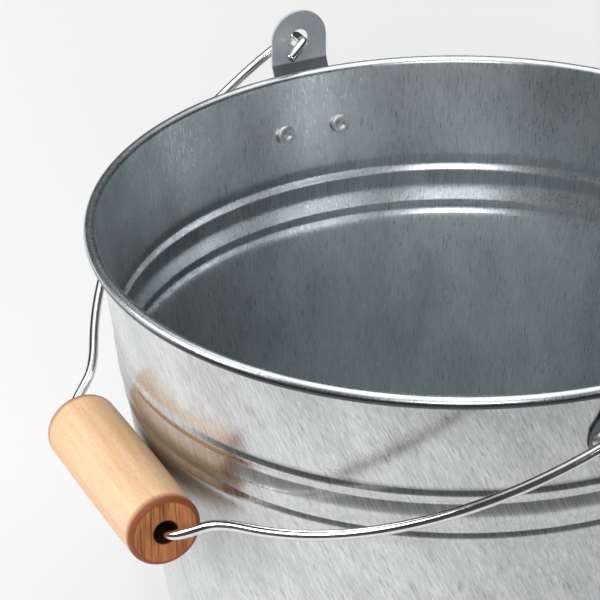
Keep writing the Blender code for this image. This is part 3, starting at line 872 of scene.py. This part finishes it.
def ear_path():
    """Lengths up the sheet of the bent ear: to the neck, to the upright tab, and to the eye."""
    on_wall = EAR_BASE_H / math.cos(LEAN)
    neck = math.hypot(EAR_TAB_R - wall_r(EAR_LEAN_Z) - EAR_STAND, EAR_UPRIGHT_Z - EAR_LEAN_Z)
    return on_wall, on_wall + neck, on_wall + neck + HINGE.z - EAR_UPRIGHT_Z


def ear_outline():
    on_wall, upright, eye = ear_path()
    tab, base, corner = EAR_TAB_W / 2, EAR_BASE_W / 2, EAR_CORNER_R
    right = arc((base - corner, corner), corner, -math.pi / 2, 0.0, 10)
    for i in range(13):
        share = i / 12
        ease = (1 - math.cos(math.pi * share)) / 2
        right.append((base + (tab - base) * ease, on_wall - EAR_SHOULDER_H * (1 - 2 * share)))
    right.append((tab, upright))
    right += arc((0.0, eye), tab, 0.0, math.pi / 2, 20)
    return right + [(-x, y) for x, y in reversed(right[:-1])]


print("ear's outline has", len(ear_outline()), "points")

# %% Blank of an ear
def flat_blank(name, outlines, thickness, edge):
    """A flat plate with its outlines' holes cut out and its edges rounded."""
    curve = bpy.data.curves.new(name, "CURVE")
    curve.dimensions = "2D"
    curve.fill_mode = "BOTH"
    curve.extrude = thickness / 2 - edge
    curve.bevel_depth = edge
    curve.bevel_resolution = 2
    curve.offset = -edge
    for outline in outlines:
        line = curve.splines.new("POLY")
        line.points.add(len(outline) - 1)
        for place, point in zip(line.points, outline):
            place.co = (point[0], point[1], 0.0, 1.0)
        line.use_cyclic_u = True
    return settle(name, show(name + "_curve", curve))


def sliced(mesh, lengths, widths):
    """Cuts a flat plate into strips, so that it can bend."""
    shape = bmesh.new()
    shape.from_mesh(mesh)
    bmesh.ops.remove_doubles(shape, verts=shape.verts, dist=SAME_PLACE)
    for axis, places in ((Vector((0.0, 1.0, 0.0)), lengths), (Vector((1.0, 0.0, 0.0)), widths)):
        for place in places:
            everything = shape.verts[:] + shape.edges[:] + shape.faces[:]
            bmesh.ops.bisect_plane(shape, geom=everything, dist=1e-7, plane_co=axis * place, plane_no=axis)
    return shape


eye_height = ear_path()[2]
eye_circle = circle((0.0, eye_height), EYE_R, EYE_POINTS)
blank = flat_blank("ear_blank", [ear_outline(), eye_circle], EAR_SHEET, EAR_EDGE)
print("ear blank is", round((eye_height + EAR_TAB_W / 2) / MM, 1), "mm long")

# %% Press the ears
NECK_BEND = 1.3 * MM
STRIP_H, STRIPS_UP = 1.25 * MM, 49
STRIP_W, STRIPS_ACROSS = 2.4 * MM, 17


def ear_place(across, up, off):
    """Where a point of the flat blank goes: across and up the plate, and off its middle."""
    on_wall, upright, _ = ear_path()
    foot_z = RIVET_Z - EAR_BASE_H / 2
    start = Vector((wall_r(EAR_LEAN_Z) + EAR_STAND, EAR_LEAN_Z))
    end = Vector((EAR_TAB_R, EAR_UPRIGHT_Z))

    def middle(distance):
        if distance <= on_wall:
            z = foot_z + distance * math.cos(LEAN)
            return Vector((wall_r(z) + EAR_STAND, z))
        if distance <= upright:
            return start.lerp(end, (distance - on_wall) / (upright - on_wall))
        return Vector((EAR_TAB_R, EAR_UPRIGHT_Z + distance - upright))

    # The two bends are rounded by averaging the line over a short stretch of itself.
    steps = [(k - 4) / 4 * NECK_BEND for k in range(9)]
    point = sum((middle(up + step) for step in steps), Vector((0.0, 0.0))) / len(steps)
    ahead = middle(up + NECK_BEND) - middle(up - NECK_BEND)
    normal = Vector((ahead.y, -ahead.x)).normalized()
    flat_share = min(max((up - on_wall) / (upright - on_wall), 0.0), 1.0)
    radius = point.x + normal.x * off
    swing = across / point.x
    curved = Vector((radius * math.cos(swing), radius * math.sin(swing), point.y + normal.y * off))
    flat = Vector((radius, across, point.y + normal.y * off))
    return curved.lerp(flat, flat_share)


def press_ear(name, half_turn):
    lengths = [k * STRIP_H for k in range(1, STRIPS_UP + 1)]
    widths = [(k - STRIPS_ACROSS // 2) * STRIP_W for k in range(STRIPS_ACROSS)]
    shape = sliced(blank.data, lengths, widths)
    for vertex in shape.verts:
        vertex.co = ear_place(vertex.co.x, vertex.co.y, vertex.co.z)
    shape.transform(Matrix.Rotation(half_turn, 4, "Z"))
    bmesh.ops.triangulate(shape, faces=[f for f in shape.faces if len(f.verts) > 4])
    bmesh.ops.recalc_face_normals(shape, faces=shape.faces)
    mesh = mesh_from(name, shape)
    mesh.shade_smooth()
    mesh.set_sharp_from_angle(angle=math.radians(50))
    mesh.materials.clear()
    mesh.materials.append(DULL_PLATE)
    return show(name, mesh)


right_ear = press_ear("right_ear_pressed", 0.0)
left_ear = press_ear("left_ear_pressed", math.pi)
bpy.data.objects.remove(blank, do_unlink=True)
print("each ear has", len(right_ear.data.polygons), "faces")

# %% [markdown]
# ## Rivets
# Four rivets hold the ears. Each has a domed head outside, a shank through both sheets, and a
# flatter head inside with a small hollow where the setting tool pressed. One rivet is drawn, and a
# node tree copies it to the four places, turned square to the wall.

# %% Rivet recipe
RIVET_SEAT = 0.05 * MM
RIVET_FLAT = 0.74  # share of the inner head that is flat
RIVET_HOLLOW = ((0.72, 1.0), (0.6, 0.93), (0.52, 0.72), (0.3, 0.66), (0.0, 0.66))


def rivet_outline():
    """The outer head, the seat and the inner head. The hollow's shares are of the flat and the height."""
    outer_seat = SHEET / 2 + GAP + EAR_SHEET + RIVET_SEAT
    inner_seat = -(SHEET / 2 + RIVET_SEAT)
    turns = [math.pi / 2 * i / 10 for i in range(11)]
    outer = [(RIVET_HEAD_R * math.sin(a), outer_seat + RIVET_HEAD_H * math.cos(a)) for a in turns]
    flat_r = RIVET_HEAD_R * RIVET_FLAT
    edge_r = RIVET_HEAD_R - flat_r
    inner = arc((flat_r, inner_seat - RIVET_HEAD_H + edge_r), edge_r, 0.0, -math.pi / 2, 8)
    hollow = [(flat_r * across, inner_seat - RIVET_HEAD_H * deep) for across, deep in RIVET_HOLLOW]
    return outer + [(RIVET_HEAD_R, inner_seat)] + inner + hollow


def rivet_recipe(model):
    recipe = Recipe("rivet_recipe", {"Rivet Scale": 1.0})
    source = recipe.add("GeometryNodeObjectInfo")
    source.inputs["Object"].default_value = model
    outwards = recipe.add("GeometryNodeInputNamedAttribute", data_type="FLOAT_VECTOR")
    outwards.inputs["Name"].default_value = "outwards"
    turn = recipe.add("FunctionNodeAlignEulerToVector", [("Vector", outwards.outputs[0])], axis="Z")
    copies = recipe.add("GeometryNodeInstanceOnPoints", [
        ("Points", recipe.given["Geometry"]), ("Instance", source.outputs["Geometry"]),
        ("Rotation", turn.outputs[0]), ("Scale", recipe.given["Rivet Scale"])])
    recipe.finish(copies.outputs[0], SOFT_RIVET)
    return recipe


def rivet_places():
    mesh = bpy.data.meshes.new("rivet_places")
    swing = RIVET_SPACING / 2 / wall_r(RIVET_Z)
    angles = [side + turn for side in (0.0, math.pi) for turn in (-swing, swing)]
    radius = wall_r(RIVET_Z)
    mesh.from_pydata([(radius * math.cos(a), radius * math.sin(a), RIVET_Z) for a in angles], [], [])
    outwards = mesh.attributes.new("outwards", "FLOAT_VECTOR", "POINT")
    for item, a in zip(outwards.data, angles):
        item.vector = (math.cos(LEAN) * math.cos(a), math.cos(LEAN) * math.sin(a), -math.sin(LEAN))
    return mesh


print("rivet's outline has", len(rivet_outline()), "points")

# %% Set the rivets
rivet_model = show("rivet_model", turned_mesh("rivet_model", rivet_outline(), 40))
rivets = rivet_recipe(rivet_model).run("set_rivets", rivet_places())
bpy.data.objects.remove(rivet_model, do_unlink=True)
print("rivets have", len(rivets.data.polygons), "faces in all")

# %% [markdown]
# ## Bail
# The bail is one wire, bent flat on a bench: a hook at each end, a short arm past the ear, a long
# bow, a kink, and a straight middle for the grip. Its line is drawn flat, as a distance along the
# hinge and a reach from it, then hung at its resting angle. A node tree sweeps a circle along it.

# %% Sizes of the bail
HOOK_IN = 7.2 * MM  # from the ear's middle to the hook's tip
HOOK_ALONG = 9.0 * MM  # from the hinge to the hook's tip
HOOK_TIP = 0.35 * MM  # the tip is thinner over this length
TIP_THICKNESS = 0.86
HOOK_CLEAR = 2.8 * MM
HOOK_BEND = 2.0 * MM
ARM_CLEAR = 3.0 * MM  # between the ear and the arm
EYE_BEND_R = 3.5 * MM
BOW_R = 172.0 * MM
BOW_SET_BACK = 8.4 * MM
BOW_START_S = 76.0 * MM  # distance along the hinge where the bow starts
KINK_RUN = 6.0 * MM
KINK_LEAN = math.radians(52)
KINK_AT = (59.5 * MM, 157.0 * MM)
STRAIGHT_SPARE = 3.5 * MM  # straight wire past the grip's end
BAIL_SLID = 1.2 * MM
# An arm is the turn at its eye, the angle where the bow ends, and the stretch of its curve.
LEFT_ARM = (math.radians(75), math.radians(38), 20.0 * MM)
RIGHT_ARM = (math.radians(52), math.radians(13), 12.5 * MM)
print("bow has a radius of", round(BOW_R / MM), "mm")

# %% Bail line
def bail_half(arm):
    """Half of the bail from the tip of its hook to the end of its straight middle."""
    eye_turn, bow_end_angle, turn_in = arm
    outside = EAR_TAB_R + EAR_SHEET / 2 + ARM_CLEAR + WIRE_R
    hook_tip = (EAR_TAB_R - HOOK_IN, HOOK_ALONG)
    hook_turn = (EAR_TAB_R - EAR_SHEET / 2 - HOOK_CLEAR, 0.0)
    lean = math.atan2(hook_tip[1], hook_turn[0] - hook_tip[0])
    tip_end = (hook_tip[0] + HOOK_TIP * math.cos(lean), hook_tip[1] - HOOK_TIP * math.sin(lean))
    before = (hook_turn[0] - HOOK_BEND * math.cos(lean), HOOK_BEND * math.sin(lean))
    after = (hook_turn[0] + HOOK_BEND, 0.0)
    points = [hook_tip, tip_end, before]
    points += bezier(before, hook_turn, hook_turn, after, 10)
    points += arc((outside - EYE_BEND_R, EYE_BEND_R), EYE_BEND_R, -math.pi / 2, eye_turn - math.pi / 2, 12)
    leaves = points[-1]
    bow_end = (BOW_R * math.cos(bow_end_angle), BOW_R * math.sin(bow_end_angle) - BOW_SET_BACK)
    up = (leaves[0] + turn_in * math.cos(eye_turn), leaves[1] + turn_in * math.sin(eye_turn))
    down = (bow_end[0] + turn_in * math.sin(bow_end_angle), bow_end[1] - turn_in * math.cos(bow_end_angle))
    points += bezier(leaves, up, down, bow_end, 30)
    bow_start = math.acos(BOW_START_S / BOW_R)
    points += arc((0.0, -BOW_SET_BACK), BOW_R, bow_end_angle, bow_start, 60)[1:]
    start = points[-1]
    out_of_bow = (start[0] - KINK_RUN * math.sin(bow_start), start[1] + KINK_RUN * math.cos(bow_start))
    across, down = KINK_RUN * math.cos(KINK_LEAN), KINK_RUN * math.sin(KINK_LEAN)
    to_kink = (KINK_AT[0] + across, KINK_AT[1] - down)
    from_kink = (KINK_AT[0] - across, KINK_AT[1] + down)
    straight = (GRIP_L / 2 + STRAIGHT_SPARE, BAIL_REACH)
    points += bezier(start, out_of_bow, to_kink, KINK_AT, 14)
    points += bezier(KINK_AT, from_kink, (straight[0] + KINK_RUN, BAIL_REACH), straight, 16)
    return points


def bail_line_mesh():
    whole = bail_half(RIGHT_ARM) + [(-s, w) for s, w in reversed(bail_half(LEFT_ARM))]
    back, down = math.cos(HANG), math.sin(HANG)
    places = [(s + BAIL_SLID, HINGE.y - w * back, HINGE.z - w * down) for s, w in whole]
    mesh = bpy.data.meshes.new("bail_line")
    mesh.from_pydata(places, [(i, i + 1) for i in range(len(places) - 1)], [])
    thickness = mesh.attributes.new("thickness", "FLOAT", "POINT")
    for i, item in enumerate(thickness.data):
        item.value = TIP_THICKNESS if i in (0, len(places) - 1) else 1.0
    return mesh


print("half of the bail has", len(bail_half(RIGHT_ARM)), "points")

# %% Sweep the wire
def wire_recipe():
    recipe = Recipe("wire_recipe", {"Wire Radius": WIRE_R, "Wire Sides": 24})
    line = recipe.add("GeometryNodeMeshToCurve", [("Mesh", recipe.given["Geometry"])])
    named = recipe.add("GeometryNodeInputNamedAttribute", data_type="FLOAT")
    named.inputs["Name"].default_value = "thickness"
    thickness = named.outputs[0]
    thinned = recipe.add("GeometryNodeSetCurveRadius", [
        ("Curve", line.outputs[0]), ("Radius", thickness)])
    section = recipe.add("GeometryNodeCurvePrimitiveCircle", [
        ("Resolution", recipe.given["Wire Sides"]), ("Radius", recipe.given["Wire Radius"])])
    swept = recipe.add("GeometryNodeCurveToMesh", [
        ("Curve", thinned.outputs[0]), ("Profile Curve", section.outputs[0])], Fill_Caps=True)
    if "Scale" in swept.inputs:
        recipe.tree.links.new(thickness, swept.inputs["Scale"])
    recipe.finish(swept.outputs[0], BRIGHT_NICKEL)
    return recipe


bail = wire_recipe().run("bail_wire", bail_line_mesh())
bail.data.shade_smooth()
bail.data.set_sharp_from_angle(angle=math.radians(40))
print("bail has", len(bail.data.polygons), "faces")

# %% [markdown]
# ## Grip
# The grip is turned from beech on a lathe: a plain sleeve, hardly thicker in the middle, with
# rounded ends and a wide bore, so that it turns loosely on the wire. It is made the same way here,
# as an outline turned round an axis. Faces that lie square to the axis or in the bore are end wood.

# %% Outline of the grip
GRIP_ROUND = 2.5 * MM
GRIP_BARREL = 0.3 * MM  # how much thicker the middle is
GRIP_RINGS = 24
BORE_LIP = 0.5 * MM


def grip_outline():
    end = GRIP_L / 2
    flat = end - GRIP_ROUND
    top = arc((GRIP_R - GRIP_ROUND, flat), GRIP_ROUND, 0.0, math.pi / 2, 12)[::-1]
    shares = [i / GRIP_RINGS for i in range(1, GRIP_RINGS)]
    body = [(GRIP_R + GRIP_BARREL * math.sin(math.pi * share), flat - 2 * flat * share) for share in shares]
    bottom = [(r, -z) for r, z in reversed(top)]
    lip = ((1.0, 0.0), (0.15, 0.3), (0.0, 1.0))
    bore = [(GRIP_BORE_R + wide * BORE_LIP, -end + deep * BORE_LIP) for wide, deep in lip]
    return top + body + bottom + bore + [(r, -z) for r, z in reversed(bore)]


print("grip's outline has", len(grip_outline()), "points")

# %% Grip
SQUARE_ON = 0.985  # a face this square to the axis is an end
NEAR_BORE = 0.6 * MM


grip_turn = Matrix.Translation(GRIP_AT) @ Matrix.Rotation(math.pi / 2, 4, "Y")
grip = show("beech_grip", turned_mesh("beech_grip", grip_outline(), 96, grip_turn))
for finish in (BEECH_SIDE, BEECH_END):
    grip.data.materials.append(finish)
for face in grip.data.polygons:
    square_on = abs(face.normal.x) > SQUARE_ON
    off_axis = (face.center - GRIP_AT).yz.length
    face.material_index = 1 if square_on or off_axis < GRIP_BORE_R + NEAR_BORE else 0
grip.data.set_sharp_from_angle(angle=math.radians(35))
print("grip is", round(GRIP_L / MM), "mm long with", len(grip.data.polygons), "faces")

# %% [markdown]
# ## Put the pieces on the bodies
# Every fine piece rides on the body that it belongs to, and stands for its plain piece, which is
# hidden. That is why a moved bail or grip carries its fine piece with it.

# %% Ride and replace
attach(wall, "bucket")
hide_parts("bucket_wall")
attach(panel, "bucket")
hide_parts("bottom_panel")
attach(rim_wire, "bucket")
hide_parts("rim_wire")
for ear, node in ((right_ear, "right_ear"), (left_ear, "left_ear")):
    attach(ear, "bucket")
    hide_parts(node)
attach(rivets, "bucket")
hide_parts("left_rivet_1", "left_rivet_2", "right_rivet_1", "right_rivet_2")
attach(bail, "bail")
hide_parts("bail")
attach(grip, "grip")
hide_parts("grip")
